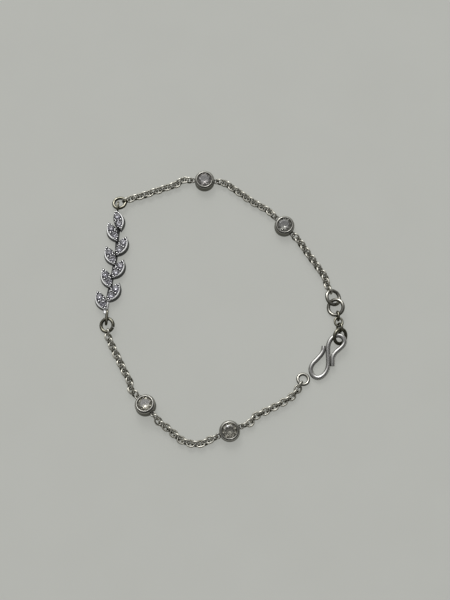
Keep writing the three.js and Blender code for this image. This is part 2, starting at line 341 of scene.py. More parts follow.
def new_material(name):
    """A material, its node tree and the inputs of its shader."""
    material = bpy.data.materials.new(name)
    material.use_nodes = True
    tree = material.node_tree
    return material, tree, tree.nodes["Principled BSDF"].inputs


print("kinds of socket:", COLOUR, FLOAT)

# %% [markdown]
# ## Tarnish and painted shade on silver
#
# Silver darkens where fingers and cloth don't reach: between links and around the prongs that
# hold a stone. Here that tarnish is mixed with painted shade. The Ambient Occlusion node
# measures how shut-in each spot is, and the floor counts too, so its darkening is partly tarnish
# in the hollows and partly painted shade at the foot of a cup and under each wire. A noise adds
# faint patches of tarnish. Two more masks paint shade alone: they darken the flanks that face
# sideways and whatever lies low, so that only the top of each wire stays bright. Painting this
# by hand on hundreds of links is hopeless, so one node group works it out from the shape. The
# group puts out the colour and the mask of film and painted shade, and each material decides
# what that mask does to its roughness.

# %% Node group: tarnish and painted shade
SHUT_IN_SAMPLES = 8
PATCH_DETAIL = 3.0
PATCH_FADE = (0.35, 0.75)


def build_tarnish_and_shade():
    inputs = {
        "Bare Colour": (0.9, 0.89, 0.86, 1),
        "Film Colour": (0.1, 0.1, 0.08, 1),
        "Reach": 0.0006,
        "Amount": 1.0,
        "Patch Scale": 900.0,
        "Patch Amount": 0.2,
        "Unshaded Facing": 0.7,
        "Shaded Facing": 0.0,
        "Unshaded Above": -0.001,
        "Shaded Below": -0.002,
    }
    group, given, result = new_group("tarnish_and_painted_shade", inputs, {"Colour": COLOUR, "Film": FLOAT})
    # the shut-in mask: partly tarnish in the hollows, partly painted shade where the floor or a
    # neighbour hides a spot
    shut_in = group.nodes.new("ShaderNodeAmbientOcclusion")
    shut_in.samples = SHUT_IN_SAMPLES
    group.links.new(given["Reach"], shut_in.inputs["Distance"])
    hollow_tarnish_and_shade = math_node(group, "SUBTRACT", 1.0, shut_in.outputs["AO"])
    hollow_tarnish_and_shade = math_node(group, "MULTIPLY", hollow_tarnish_and_shade, given["Amount"])
    cloud = noise_node(group, given["Patch Scale"], PATCH_DETAIL)
    patch = mask_between(group, cloud, *PATCH_FADE, smooth=False)
    patch = math_node(group, "MULTIPLY", patch, given["Patch Amount"])
    film = math_node(group, "ADD", hollow_tarnish_and_shade, patch, clamp=True)
    # painted shade: surfaces that face sideways get the dark film colour, so only the top of a wire
    # stays bright
    surface = group.nodes.new("ShaderNodeNewGeometry")
    facing_up = height_of(group, surface.outputs["Normal"])
    flank = mask_between(group, facing_up, given["Unshaded Facing"], given["Shaded Facing"])
    film = math_node(group, "MAXIMUM", film, flank)
    # painted shade: everything below a given height gets the dark film colour
    place = group.nodes.new("ShaderNodeTexCoord")
    height = height_of(group, place.outputs["Object"])
    painted_low_shade = mask_between(group, height, given["Unshaded Above"], given["Shaded Below"])
    film = math_node(group, "MAXIMUM", film, painted_low_shade)
    # the dark film colour goes wherever there is tarnish or painted shade
    colour = mix_colours(group, film, given["Bare Colour"], given["Film Colour"])
    group.links.new(colour, result["Colour"])
    group.links.new(film, result["Film"])
    return group


tarnish_and_shade_group = build_tarnish_and_shade()
print("group:", tarnish_and_shade_group.name)

# %% [markdown]
# ## The marks of polishing
#
# A polished wire isn't a perfect mirror. The wheel leaves faint waves that bend reflections,
# and use leaves finer scratches that soften them. Two noises at two scales give a height for
# a Bump node and a small value to add to the roughness. All the silvers share this group, and
# each sets for itself how strongly the height bends what it reflects.

# %% Node group: polishing marks
WAVE_DETAIL = 1.0
SCRATCH_DETAIL = 4.0


def build_polish():
    inputs = {"Wave Scale": 900.0, "Scratch Scale": 7000.0, "Scratch Share": 0.25}
    group, given, result = new_group("polishing_marks", inputs, {"Height": FLOAT, "Dullness": FLOAT})
    waves = noise_node(group, given["Wave Scale"], WAVE_DETAIL)
    scratches = noise_node(group, given["Scratch Scale"], SCRATCH_DETAIL)
    fine = math_node(group, "MULTIPLY", scratches, given["Scratch Share"])
    height = math_node(group, "ADD", waves, fine)
    group.links.new(height, result["Height"])
    dull = math_node(group, "MULTIPLY", scratches, waves)
    group.links.new(dull, result["Dullness"])
    return group


polish_group = build_polish()
print("group:", polish_group.name)

# %% [markdown]
# ## Six silvers
#
# The metal doesn't look the same all over. The hook is bright, because it is handled most.
# The rings are duller, and three of them, the extension and the leaf bar's eyelets are duller
# and yellower still. Every silver has painted shade on its flanks that face sideways. The chain
# is darkened between its links, partly by tarnish and partly by painted shade, and its low wires
# have painted shade too. The cups have painted shade on their walls and foot under a brighter rim,
# and the leaf bar is a whiter silver with painted shade low on its walls. One function builds a
# silver from the two groups, so the six differ only in a row of numbers. A film of tarnish is
# rougher than bare metal, so the mask of film and painted shade is added to the roughness, and so
# are the marks of polishing.

# %% Silver finishes
PATCH_SCALE = 1100.0
FILM_ROUGHNESS = 0.3
MARKS_ROUGHNESS = 0.25
MARKS_DEPTH = 0.02
# heights below every piece, so that no painted shade falls on a piece for lying low
NO_LOW_SHADE = (-1, -2)


def silver_finish(name, bare, film, reach, amount, patches, facing, roughness, marks, shade_heights):
    """A silver, with its reach and its heights in millimetres."""
    material, tree, shader = new_material(name)
    tarnish_and_shade_values = {
        "Bare Colour": (*bare, 1),
        "Film Colour": (*film, 1),
        "Reach": reach * MM,
        "Amount": amount,
        "Patch Scale": PATCH_SCALE,
        "Patch Amount": patches,
        "Unshaded Facing": facing[0],
        "Shaded Facing": facing[1],
        "Unshaded Above": shade_heights[0] * MM,
        "Shaded Below": shade_heights[1] * MM,
    }
    tarnish_and_shade = place_group(tree, tarnish_and_shade_group, tarnish_and_shade_values)
    polish = place_group(tree, polish_group, {})
    shader["Metallic"].default_value = 1.0
    tree.links.new(tarnish_and_shade["Colour"], shader["Base Color"])
    dull = math_node(tree, "MULTIPLY_ADD", tarnish_and_shade["Film"], FILM_ROUGHNESS, roughness)
    rough = math_node(tree, "MULTIPLY_ADD", polish["Dullness"], MARKS_ROUGHNESS, dull)
    tree.links.new(rough, shader["Roughness"])
    relief = tree.nodes.new("ShaderNodeBump")
    relief.inputs["Strength"].default_value = marks
    relief.inputs["Distance"].default_value = MARKS_DEPTH * MM
    tree.links.new(polish["Height"], relief.inputs["Height"])
    tree.links.new(relief.outputs["Normal"], shader["Normal"])
    return material


# first the bare colour and the colour of film and painted shade. Then the reach of the hollows,
# the tarnish and painted shade in them, the patches, how far a surface faces up where it is free
# of painted shade and where it is fully shaded, the roughness, the strength of the marks, and the
# heights above which it is free of painted shade and below which it is fully shaded.
SILVERS = {
    # painted shade on the hook's flanks and below 0.6 mm
    "hook": (
        (0.96, 0.95, 0.92),
        (0.1, 0.096, 0.078),
        0.4, 0.5, 0.06, (0.85, 0.4), 0.12, 0.1, (1.0, 0.6),
    ),
    "ring": (
        (0.78, 0.76, 0.68),
        (0.1, 0.098, 0.07),
        0.6, 0.9, 0.2, (0.96, 0.7), 0.12, 0.25, NO_LOW_SHADE,
    ),
    "dull": (
        (0.37, 0.356, 0.285),
        (0.1, 0.097, 0.068),
        0.6, 1.1, 0.25, (0.99, 0.7), 0.14, 0.25, NO_LOW_SHADE,
    ),
    # darkening between the links is partly tarnish and partly painted shade; the low wires, below 0.55
    # mm, get painted shade
    "chain": (
        (0.78, 0.76, 0.675),
        (0.15, 0.145, 0.11),
        0.25, 0.4, 0.15, (0.8, 0.1), 0.18, 0.15, (1.4, 0.55),
    ),
    # painted shade on the cup's walls, and a long reach that darkens the foot like a contact shadow
    "cup": (
        (0.43, 0.422, 0.385),
        (0.13, 0.126, 0.105),
        0.8, 1.2, 0.12, (0.75, 0.2), 0.11, 0.06, NO_LOW_SHADE,
    ),
    # painted shade on the leaf walls, below 0.75 mm
    "leaf": (
        (0.99, 0.99, 0.985),
        (0.07, 0.07, 0.072),
        0.3, 0.8, 0.04, (0.6, 0.2), 0.12, 0.1, (1.4, 0.75),
    ),
}
silvers = {name: silver_finish(f"{name}_silver", *row) for name, row in SILVERS.items()}
print("silver finishes:", len(silvers))

# %% [markdown]
# ## Clear stones with a used look
#
# The stones are clear, hard and cut, with a high refractive index, so most of what they show
# is what their facets gather from around them. Worn stones have a greasy film that greys the
# sparkle. The film is a group that puts out a colour and a roughness, and the glass stays
# plain in the material itself. The four round stones have tints of their own, because they
# don't look alike from cup to cup.

# %% Node group: film on a stone
SMEAR_DETAIL = 3.0
SMEAR_FADE = (0.35, 0.7)


def build_stone_film():
    inputs = {
        "Clear Colour": (0.95, 0.95, 0.95, 1),
        "Film Colour": (0.7, 0.68, 0.65, 1),
        "Film Scale": 900.0,
        "Film Roughness": 0.12,
    }
    group, given, result = new_group("film_on_stone", inputs, {"Colour": COLOUR, "Roughness": FLOAT})
    cloud = noise_node(group, given["Film Scale"], SMEAR_DETAIL)
    smear = mask_between(group, cloud, *SMEAR_FADE, smooth=False)
    colour = mix_colours(group, smear, given["Clear Colour"], given["Film Colour"])
    group.links.new(colour, result["Colour"])
    rough = math_node(group, "MULTIPLY", smear, given["Film Roughness"])
    group.links.new(rough, result["Roughness"])
    return group


stone_film_group = build_stone_film()
print("group:", stone_film_group.name)

# %% Stone finishes
STONE_INDEX = 2.15
STATION_CLEARNESS, STATION_FILM = 0.9, 0.12
LEAF_CLEARNESS, LEAF_FILM = 0.95, 0.05


def stone_finish(name, clear, film, clearness, film_roughness):
    material, tree, shader = new_material(name)
    film_values = {
        "Clear Colour": (*clear, 1),
        "Film Colour": (*film, 1),
        "Film Roughness": film_roughness,
    }
    smear = place_group(tree, stone_film_group, film_values)
    shader["Metallic"].default_value = 0.0
    shader["Transmission Weight"].default_value = clearness
    shader["IOR"].default_value = STONE_INDEX
    tree.links.new(smear["Colour"], shader["Base Color"])
    tree.links.new(smear["Roughness"], shader["Roughness"])
    return material


# the clear colour and the film's colour of each round stone
STATION_TINTS = {
    "north": ((0.78, 0.74, 0.71), (0.66, 0.625, 0.6)),
    "northeast": ((0.66, 0.655, 0.6), (0.55, 0.545, 0.49)),
    "southwest": ((0.66, 0.635, 0.53), (0.55, 0.53, 0.43)),
    "south": ((0.68, 0.655, 0.56), (0.56, 0.54, 0.46)),
}
LEAF_TINTS = ((0.95, 0.94, 1.0), (0.8, 0.79, 0.91))

station_stones = {}
for name, (clear, film) in STATION_TINTS.items():
    station_stones[name] = stone_finish(f"stone_{name}", clear, film, STATION_CLEARNESS, STATION_FILM)
leaf_stone = stone_finish("leaf_stone", *LEAF_TINTS, LEAF_CLEARNESS, LEAF_FILM)
print("stone finishes:", len(station_stones) + 1)

# %% [markdown]
# ## Bezel cups
#
# A bezel is a strip of metal bent round the stone and burnished over its edge. Ours is turned
# as one profile: a straight wall, a rim that rolls over the top, a groove that holds the
# stone's edge and an open back. Cutting the profile's corners twice over rounds the rim, and
# the rolled edge then catches a thin line of light as the real one does. Two small loops
# soldered at the sides take the chain. One cup leans, as it was put down.

# %% Bezel cups
CUP_RADIUS, CUP_HEIGHT, CUP_SEGMENTS = 2.52, 2.3, 96
BACK_RADIUS, SEAT_RADIUS = 1.5, 2.06
LUG_REACH, LUG_HEIGHT, LUG_RADIUS, LUG_WIRE = 3.02, 1.1, 0.55, 0.4
LUG_STEPS, WIRE_SIDES = 28, 12

# heading of the line through the lugs, how far the cup leans, and the heading it leans to
STATIONS = {
    "north": (-3, 0, 0),
    "northeast": (-47, 0, 0),
    "southwest": (-49, 15, 108),
    "south": (23, 0, 0),
}


def station_matrix(name):
    """Where a cup stands. The middle of its node's box is level with the lugs, so the foot of
    a cup that leans is a little behind that middle."""
    heading, lean, lean_to = STATIONS[name]
    back = LUG_HEIGHT * math.sin(math.radians(lean))
    foot = box_middle(f"bezel_{name}") - towards(lean_to) * back
    return Matrix.Translation((foot.x, foot.y, 0)) @ tipped(lean, lean_to) @ turned(heading)


def cup_shape():
    wall = [
        (BACK_RADIUS, 0.0),
        (2.4, 0.0),
        (2.5, 0.08),
        (CUP_RADIUS, 0.4),
        (CUP_RADIUS, 1.0),
        (CUP_RADIUS, 1.6),
    ]
    rim = [
        (2.48, 1.9),
        (2.38, 2.08),
        (2.22, 2.23),
        (2.08, CUP_HEIGHT + 0.01),
        (1.97, CUP_HEIGHT + 0.03),
        (1.86, 2.28),
        (1.74, 2.13),
        (1.7, 2.0),
    ]
    seat = [(SEAT_RADIUS, 1.84), (SEAT_RADIUS, 1.6), (BACK_RADIUS, 1.1)]
    return lathe(rounded(wall + rim + seat), CUP_SEGMENTS)


def lug_shape(side):
    path = [towards(360 * k / LUG_STEPS) * LUG_RADIUS for k in range(LUG_STEPS)]
    loop = sweep(path, circle_section(LUG_WIRE / 2, WIRE_SIDES), closed=True)
    return placed(loop, Matrix.Translation((side * LUG_REACH, 0, LUG_HEIGHT)))


station_places = {}
for name in STATIONS:
    cup = joined([cup_shape(), lug_shape(-1), lug_shape(1)])
    cup, rise = stood(placed(cup, station_matrix(name)))
    station_places[name] = Matrix.Translation((0, 0, rise)) @ station_matrix(name)
    make_piece(f"cup_{name}", cup, silvers["cup"], [f"bezel_{name}"])
print("cups:", len(station_places))

# %% [markdown]
# ## Brilliant-cut stones
#
# A round brilliant has a flat table, a ring of star and kite facets down to its edge, and
# long facets below that meet in a point. Its sparkle comes from those flat facets, so the
# stone is built facet by facet from the cutter's proportions, and not smoothed. The heights
# of the middle corners are worked out so that each kite is truly flat.

# %% A brilliant
HALF_GIRDLE = 0.03
LOWER_CORNERS = 0.26
EIGHTH = math.pi / 8


def brilliant(radius, crown, pavilion, table):
    """A stone with its edge at height 0. All but the radius are shares of the radius."""
    star = (table * math.cos(EIGHTH) + 1) / 2
    star_drop = (1 - star * math.cos(EIGHTH)) / (1 - table)
    lower_drop = 1 - LOWER_CORNERS * math.cos(EIGHTH)
    top, bottom = HALF_GIRDLE, -HALF_GIRDLE

    def corner(steps, distance, height):
        return (towards(22.5 * steps) * distance + UP * height) * radius

    tables = [corner(2 * k, table, top + crown) for k in range(8)]
    stars = [corner(2 * k + 1, star, top + crown * star_drop) for k in range(8)]
    upper = [corner(m, 1, top) for m in range(16)]
    under = [corner(m, 1, bottom) for m in range(16)]
    mains = [corner(2 * k + 1, LOWER_CORNERS, bottom - pavilion * lower_drop) for k in range(8)]
    points = [*tables, *stars, *upper, *under, *mains, corner(0, 0, bottom - pavilion)]
    t, s, g, b, p, tip = 0, 8, 16, 32, 48, 56
    faces = [tuple(range(8))]
    for k in range(8):
        n = (k + 1) % 8
        odd, even = 2 * k + 1, (2 * k + 2) % 16
        faces.append((t + k, s + k, t + n))
        faces.append((t + k, s + (k - 1) % 8, g + 2 * k, s + k))
        faces.append((s + k, g + 2 * k, g + odd))
        faces.append((s + k, g + odd, g + even))
        faces.append((p + k, b + odd, b + 2 * k))
        faces.append((p + k, b + even, b + odd))
        faces.append((tip, p + k, b + 2 * k, p + (k - 1) % 8))
    for m in range(16):
        n = (m + 1) % 16
        faces.append((g + m, b + m, b + n, g + n))
    return points, faces


STATION_CUT = {"radius": 2.0, "crown": 0.26, "pavilion": 0.8, "table": 0.56}
print("facets of a brilliant:", len(brilliant(**STATION_CUT)[1]))

# %% Stones for the cups
SEAT_HEIGHT = 1.72
STONE_TURNS = {"north": 10, "northeast": 33, "southwest": 5, "south": 21}
for name, place in station_places.items():
    seat = place @ Matrix.Translation((0, 0, SEAT_HEIGHT)) @ turned(STONE_TURNS[name])
    stone = placed(brilliant(**STATION_CUT), seat)
    finish = station_stones[name]
    make_piece(f"brilliant_{name}", stone, finish, [f"stone_{name}"], FACET_CREASE)
print("stones in cups:", len(station_places))

# %% [markdown]
# ## Jump rings
#
# A jump ring is a turn of round wire, sawn through and closed with pliers. The two sawn ends
# never meet quite true, and that small step is what tells a jump ring from a cast one. So
# the ring is swept open with a hair's gap, with one end a little higher than the other. Each
# ring tips as it lies, and its middle is the middle of its node's box.

# %% Jump rings
# outside diameter, how far it tips, the heading of its low side, where its sawn ends are, wire
RING_COLUMNS = ("outer", "tip", "low_side", "seam", "wire")
RING_ROWS = {
    "leaf_top": (3.9, 16, 120, 150, 0.82),
    "leaf_foot": (4.05, 18, 195, -20, 0.82),
    "pair_upper": (4.5, 26, 11, 60, 0.86),
    "pair_lower": (4.7, 28, 191, 230, 0.86),
    "hook": (4.5, 40, -30, 60, 0.86),
    "catch": (3.4, 9, 60, 150, 0.76),
}
RINGS = {name: dict(zip(RING_COLUMNS, row)) for name, row in RING_ROWS.items()}
DULL_RINGS = ("leaf_top", "leaf_foot", "hook")
RING_STEPS, RING_SIDES = 72, 16
SEAM_HALF_GAP = 2.0
SEAM_STEP = 0.1
RING_REST = 0.005


def ring_matrix(name):
    ring = RINGS[name]
    return Matrix.Translation(box_middle(f"ring_{name}")) @ tipped(ring["tip"], ring["low_side"])


def ring_shape(outer, seam, wire):
    radius = (outer - wire) / 2
    path = []
    for k in range(RING_STEPS + 1):
        share = k / RING_STEPS
        heading = seam + SEAM_HALF_GAP + (360 - 2 * SEAM_HALF_GAP) * share
        lift = SEAM_STEP * (share - 0.5) * abs(2 * share - 1) ** 6
        path.append(towards(heading) * radius + UP * lift)
    return sweep(path, circle_section(wire / 2, RING_SIDES))


for name, ring in RINGS.items():
    shape = ring_shape(ring["outer"], ring["seam"], ring["wire"])
    shape = stood(placed(shape, ring_matrix(name)), RING_REST)[0]
    finish = silvers["dull" if name in DULL_RINGS else "ring"]
    make_piece(f"wire_ring_{name}", shape, finish, [f"ring_{name}"])
print("rings:", len(RINGS))

# %% [markdown]
# ## Cable chain
#
# Cable chain is one oval link repeated, each threaded through the last. Laid on a surface it
# settles with every other link leaning steeply, and the rest lying flatter or leaning the
# other way. An array along a curve would place them evenly, but a real chain isn't even, so
# each link is placed in a loop along the run's route, with its lean and a little chance. The
# links are slack, of slightly oval wire, and those at the ends of a run are a bit finer.

# %% Chain: links and leans
LINK = {"half_length": 0.94, "half_width": 0.76, "wire": 0.48, "thickness": 0.5}
END_LINK = {"half_length": 0.9, "half_width": 0.8, "wire": 0.44, "thickness": 0.46}
BEND_STEPS = 11
PITCH = 1.25
REST_HEIGHT = 0.8

# the leans of every other link and of the rest, by the way that a run goes
LEANS_EAST_WEST = (64, -4)
LEANS_NORTH_SOUTH = (42, -33)

# name, first end, middle points, last end, leans
RUNS = [
    (
        "leaf_north",
        ("ring", "leaf_top", 22),
        [(-20.77, 28.59), (-16.03, 30.28), (-11.42, 31.97)],
        ("lug", "north", -1),
        LEANS_EAST_WEST,
    ),
    (
        "north_northeast",
        ("lug", "north", 1),
        [(1.02, 32.24), (4.06, 30.08), (8.76, 26.68)],
        ("lug", "northeast", -1),
        LEANS_EAST_WEST,
    ),
    (
        "northeast_rings",
        ("lug", "northeast", 1),
        [(21.45, 14.03), (24.25, 9.86), (26.4, 6.34)],
        ("ring", "pair_upper", 111),
        LEANS_NORTH_SOUTH,
    ),
    (
        "leaf_southwest",
        ("ring", "leaf_foot", -80),
        [(-26.88, -10.19), (-24.27, -15.44), (-21.92, -20.06)],
        ("lug", "southwest", -1),
        LEANS_NORTH_SOUTH,
    ),
    (
        "southwest_south",
        ("lug", "southwest", 1),
        [(-12.49, -30.99), (-9.62, -33.44), (-6.8, -34.52), (-4.01, -34.35)],
        ("lug", "south", -1),
        LEANS_EAST_WEST,
    ),
    (
        "south_end_ring",
        ("lug", "south", 1),
        [(7.95, -28.25), (12.43, -25.98), (16.86, -23.37)],
        ("ring", "catch", 239),
        LEANS_EAST_WEST,
    ),
]


def link_shape(link):
    """Two half circles joined by straight sides, in the XY plane and long in X."""
    radius = link["half_width"]
    straight = Vector((link["half_length"] - radius, 0, 0))
    path = []
    for side in (1, -1):
        for k in range(BEND_STEPS + 1):
            angle = math.pi * (k / BEND_STEPS - 0.5)
            bend = Vector((math.cos(angle), math.sin(angle), 0)) * radius
            path.append(side * (bend + straight))
    oval = [(a * link["wire"], b * link["thickness"]) for a, b in circle_section(0.5, WIRE_SIDES)]
    return sweep(path, oval, closed=True)


print("runs:", len(RUNS), "points of a link:", len(link_shape(LINK)[0]))

# %% [markdown]
# ## Where a run begins and ends
#
# A run hangs on a lug of a cup or on a ring. Its end link goes round the wire there, so the
# link's far bend lies just inside that lug or ring. From there the route leads straight out
# and down to the surface. It may not reach as far as the next given point, or the route would
# double back on itself and two links would lie in one place.

# %% Chain: ends and routes
LUG_CLEARANCE, RING_CLEARANCE = 0.01, 0.02
RUN_OUT, RUN_OUT_SHARE = 2.6, 0.75
SLOPE_SHARE = 0.25
ROUTE_STEPS = 24


def run_end(end, link):
    """Where the middle of the end link's wire goes, and which way the run leaves.

    An end is on a lug, at side -1 or 1 of a cup, or on a ring, at a heading of it."""
    kind, name, value = end
    if kind == "lug":
        place = station_places[name]
        reach = LUG_REACH + LUG_RADIUS - LUG_WIRE / 2 - link["wire"] / 2 - LUG_CLEARANCE
        at = place @ Vector((value * reach, 0, LUG_HEIGHT))
        away = place.to_3x3() @ Vector((value, 0, 0))
    else:
        place = ring_matrix(name)
        axis = place.to_3x3() @ UP
        away = towards(value)
        away.z = -(away.x * axis.x + away.y * axis.y) / axis.z
        away.normalize()
        inside = RINGS[name]["outer"] / 2 - RINGS[name]["wire"]
        at = place.translation + away * (inside - link["wire"] / 2 - RING_CLEARANCE)
    return at, Vector((away.x, away.y, 0)).normalized()


def run_route(first, middles, last):
    ends = []
    for end, nearest in ((first, middles[0]), (last, middles[-1])):
        at, away = run_end(end, END_LINK)
        room = math.hypot(nearest[0] - at.x, nearest[1] - at.y)
        beyond = at + away * min(RUN_OUT, RUN_OUT_SHARE * room)
        beyond.z = REST_HEIGHT + SLOPE_SHARE * (at.z - REST_HEIGHT)
        ends.append((at, beyond))
    middle = [Vector((x, y, REST_HEIGHT)) for x, y in middles]
    points = [*ends[0], *middle, *reversed(ends[1])]
    return curve_through(points, ROUTE_STEPS)


def route_length(route):
    return sum((b - a).length for a, b in zip(route, route[1:]))


def along_route(route, distance):
    """The point that far along the route, which goes on straight past its ends."""
    for a, b in zip(route, route[1:]):
        step = (b - a).length
        if distance <= step:
            return a + (b - a) * (distance / step)
        distance -= step
    return route[-1] + (route[-1] - route[-2]).normalized() * distance


for name, first, middles, last, leans in RUNS:
    print(name, "length:", round(route_length(run_route(first, middles, last)), 1), "mm")

# %% [markdown]
# ## Laying the links
#
# Each link points along its piece of the route and rolls about it by its lean. Chance adds a
# sway that wanders slowly from link to link, because neighbours lean with one another, and a
# small roll, turn and side step of its own. A link that hangs on a ring stands steeper, since
# the ring lies through it. A link is then raised, where needed, until it clears the surface.

# %% Chain: the links laid along their runs
SWAY_SPREAD, SWAY_RETURN = 3, 0.25
ROLL_SPREAD, TURN_SPREAD, SIDE_SPREAD = 2, 0.05, 0.03
SIDE_STEP = 0.06
RING_LEAN = 75
LINK_REST = 0.01
dice = random.Random(7)


def link_matrix(centre, along, roll):
    along = along.normalized()
    across = UP.cross(along).normalized()
    above = along.cross(across)
    rolled = across * math.cos(roll) + above * math.sin(roll)
    turn = Matrix((along, rolled, along.cross(rolled))).transposed().to_4x4()
    return Matrix.Translation(centre) @ turn


def chain_run(first, middles, last, leans):
    """The links of a run as one shape, how many there are and their pitch."""
    route = run_route(first, middles, last)
    span = route_length(route) - 2 * END_LINK["half_length"]
    steps = math.ceil(span / PITCH)
    pitch = span / steps
    shapes = []
    sway = 0
    for i in range(steps + 1):
        link = END_LINK if i in (0, steps) else LINK
        reach = link["half_length"]
        middle = reach + i * pitch
        centre = along_route(route, middle)
        along = along_route(route, middle + reach) - along_route(route, middle - reach)
        along.normalize()
        across = UP.cross(along).normalized()
        on_ring = (i == 0 and first[0] == "ring") or (i == steps and last[0] == "ring")
        lean = RING_LEAN if on_ring else leans[i % 2]
        sway += dice.gauss(0, SWAY_SPREAD) - SWAY_RETURN * sway
        roll = math.radians(lean + sway + dice.gauss(0, ROLL_SPREAD))
        low = link["half_width"] * abs(math.sin(roll)) + link["thickness"] / 2 + LINK_REST
        centre.z = max(centre.z, low)
        along = along + across * dice.gauss(0, TURN_SPREAD)
        centre = centre + across * (dice.gauss(0, SIDE_SPREAD) - SIDE_STEP * (i % 2))
        shapes.append(placed(link_shape(link), link_matrix(centre, along, roll)))
    return joined(shapes), steps + 1, pitch


for name, first, middles, last, leans in RUNS:
    links, count, pitch = chain_run(first, middles, last, leans)
    make_piece(f"links_{name}", links, silvers["chain"], [f"chain_{name}"])
    print(name, "links:", count, "pitch:", round(pitch, 3), "lowest:", round(lowest(links), 3))

# %% [markdown]
# ## The extension
#
# Between the pair of rings and the hook's ring hang three heavier links of the duller metal.
# They are held up by the rings at both ends, so they don't lie on the surface as the chain
# does, and the middle one sags a little. The first and last stand steep in their rings.

# %% Extension links
EXTENSION_LINK = {"half_length": 1.1, "half_width": 0.96, "wire": 0.54, "thickness": 0.56}
EXTENSION_ENDS = (("ring", "pair_lower", -74), ("ring", "hook", 88))
# roll and sag of each link
EXTENSION_ROWS = ((85, 0), (-5, 0.15), (60, 0))


def extension_run():
    top, foot = [run_end(end, EXTENSION_LINK)[0] for end in EXTENSION_ENDS]
    reach = EXTENSION_LINK["half_length"]
    pitch = ((foot - top).length - 2 * reach) / (len(EXTENSION_ROWS) - 1)
    along = (foot - top).normalized()
    shapes = []
    for i, (roll, sag) in enumerate(EXTENSION_ROWS):
        centre = top + along * (reach + i * pitch) - UP * sag
        matrix = link_matrix(centre, along, math.radians(roll))
        shapes.append(placed(link_shape(EXTENSION_LINK), matrix))
    return joined(shapes), pitch


links, pitch = extension_run()
make_piece("links_extension", links, silvers["dull"], ["chain_extension"])
print("extension pitch:", round(pitch, 3), "lowest:", round(lowest(links), 3))

# %% [markdown]
# ## The S-hook
#
# The hook is stout wire, a little pressed at the bends, bent flat into a narrow S and cut off
# square at both ends. It is swept along its bends with an oval section that swells a little
# where a jeweller's pliers press it and narrows at the very ends. The whole hook slopes,
# because its upper bend lies over a ring.

# %% S-hook
HOOK_ROUTE = [
    (25.25, -10.75), (25.18, -11.8), (24.7, -12.75), (23.65, -13.95), (22.46, -15.2),
    (22.0, -16.3), (22.15, -17.35), (22.75, -18.2), (23.7, -18.55), (24.7, -18.2),
    (25.65, -17.2), (26.2, -15.9), (26.35, -14.1), (26.28, -12.3), (26.37, -10.75),
    (26.9, -9.4), (27.8, -8.5), (29.0, -8.15), (29.96, -8.65), (30.38, -9.7),
    (30.05, -10.6), (29.1, -11.55), (28.05, -12.5), (27.45, -13.55), (27.34, -14.66),
    (27.33, -15.75),
]
HOOK_WIRE, HOOK_SIDES, HOOK_STEPS = 1.1, 20, 7
HOOK_SWELL, HOOK_WAVES = 0.05, 5
HOOK_END, HOOK_END_GAIN = 0.9, 4
# the point of the route that it slopes about, how far and to which heading
HOOK_REST, HOOK_SLOPE, HOOK_SLOPE_TOWARDS = 7, 6, 220


def hook_shape():
    path = curve_through([Vector((x, y, 0)) for x, y in HOOK_ROUTE], HOOK_STEPS)
    sections = []
    for i in range(len(path)):
        share = i / (len(path) - 1)
        swell = 1 + HOOK_SWELL * math.sin(share * HOOK_WAVES * math.pi) ** 2
        height = HOOK_WIRE * min(1.0, HOOK_END + HOOK_END_GAIN * min(share, 1 - share))
        sections.append([(a * height * swell, b * height) for a, b in circle_section(0.5, HOOK_SIDES)])
    strip = sweep(path, sections)
    x, y = HOOK_ROUTE[HOOK_REST]
    there = Matrix.Translation((x, y, 0))
    back = Matrix.Translation((-x, -y, 0))
    return placed(strip, there @ tipped(HOOK_SLOPE, HOOK_SLOPE_TOWARDS) @ back)


hook = stood(hook_shape())[0]
make_piece("hook_strip", hook, silvers["hook"], ["s_hook"])
print("hook points:", len(hook[0]))

# %% [markdown]
# ## The leaf bar
#
# Eight leaves branch from a stem, tip upward, first right and then left. Each leaf is a
# pointed oval with one side fuller: that side is bare metal with a crisp bright edge, and
# beside it two stones sit in a sunk channel, held by round prongs. A leaf is lofted from
# cross-sections along its length, which lets the top have its raised edge and its channel in
# one skin. Each leaf lies where the frame has its two stones.

# %% Leaves: the outline
LEAF_COUNT = 8
LEAF_LENGTH, LEAF_HEIGHT, LEAF_STEPS = 5.6, 1.8, 30
OUTER_WIDTH, INNER_WIDTH, TIP_WIDTH = 1.42, 1.2, 0.03
FULL_EDGE_WIDTH = 0.8
CHANNEL_DEPTH = 0.76


def leaf_section(x):
    """The leaf cut across at x: (sideways, height) corners, the polished side positive."""
    fullness = max(TIP_WIDTH, 1 - (2 * x / LEAF_LENGTH) ** 2)
    outer, inner = OUTER_WIDTH * fullness, INNER_WIDTH * fullness
    k = min(1.0, outer / FULL_EDGE_WIDTH)
    top = LEAF_HEIGHT
    wall = [
        (outer + 0.2 * k, 0.0),
        (outer + 0.24 * k, 0.15),
        (outer + 0.16 * k, 0.8),
        (outer + 0.06 * k, 1.35),
        (outer - 0.01 * k, 1.62),
    ]
    edge = [
        (outer - 0.06 * k, top - 0.05),
        (outer - 0.13 * k, top),
        (outer - 0.33 * k, top),
        (outer - 0.39 * k, top - 0.06),
    ]
    channel = [
        (outer - 0.42 * k, top - CHANNEL_DEPTH),
        (-inner + 0.16 * k, top - CHANNEL_DEPTH),
    ]
    low_wall = [
        (-inner + 0.12 * k, top - 0.2),
        (-inner + 0.06 * k, top - 0.16),
        (-inner, top - 0.28),
        (-inner - 0.02, 0.1),
        (-inner * 0.96, 0.0),
    ]
    return wall + edge + channel + low_wall


